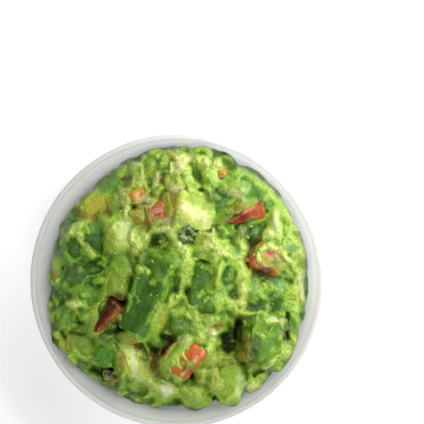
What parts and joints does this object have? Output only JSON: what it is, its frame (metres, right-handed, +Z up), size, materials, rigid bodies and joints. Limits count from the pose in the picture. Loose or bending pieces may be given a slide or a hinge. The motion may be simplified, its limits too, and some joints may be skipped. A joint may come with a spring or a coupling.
{
  "type": "bowl of guacamole",
  "caption": "A small round white bowl heaped with chunky guacamole: mashed and diced avocado with bits of red tomato and a leaf of cilantro.",
  "frame": {"origin": "on the floor, under the centre of the bowl's foot", "axes": "+Z points up out of the bowl. +X and +Y lie in the floor. The large cream-coloured piece of avocado lies towards +Y, and the large piece of tomato towards -Y."},
  "size_m": [0.13, 0.13, 0.0719],
  "materials": {
    "glaze": "white gloss glaze",
    "mash": "moist, lumpy mash",
    "avocado_green": "moist cut avocado from near the skin",
    "avocado_yellow": "moist cut avocado from near the stone",
    "tomato": "wet cut tomato, partly coated with mash",
    "leaf": "dark green, crinkled"
  },
  "bodies": {
    "root": {"avocado_corner_chunk": "avocado_green", "avocado_cream_wedge": "avocado_yellow", "avocado_curled_slice": "avocado_green", "avocado_edge_cube": "avocado_green", "avocado_green_face": "avocado_green", "avocado_left_dice": "avocado_green", "avocado_lit_block": "avocado_yellow", "avocado_long_slice": "avocado_green", "avocado_pale_knob": "avocado_yellow", "avocado_ridge_cube": "avocado_green", "avocado_rim_slab": "avocado_green", "avocado_round_knob": "avocado_yellow", "avocado_shaded_block": "avocado_green", "avocado_side_slab": "avocado_green", "avocado_side_wedge": "avocado_green", "avocado_small_facet": "avocado_yellow", "avocado_smooth_finger": "avocado_green", "avocado_split_cube": "avocado_green", "avocado_upright_cube": "avocado_green", "avocado_yellow_cube": "avocado_yellow", "bowl": "glaze", "cilantro_leaf": "leaf", "mash": "mash", "tomato_brown_dice": "tomato", "tomato_coated_dice": "tomato", "tomato_dull_dice": "tomato", "tomato_edge_bit": "tomato", "tomato_far_bit": "tomato", "tomato_large_dice": "tomato", "tomato_shaded_wedge": "tomato", "tomato_small_dice": "tomato", "tomato_sunk_bit": "tomato", "tomato_wedge": "tomato"}
  },
  "joints": []
}
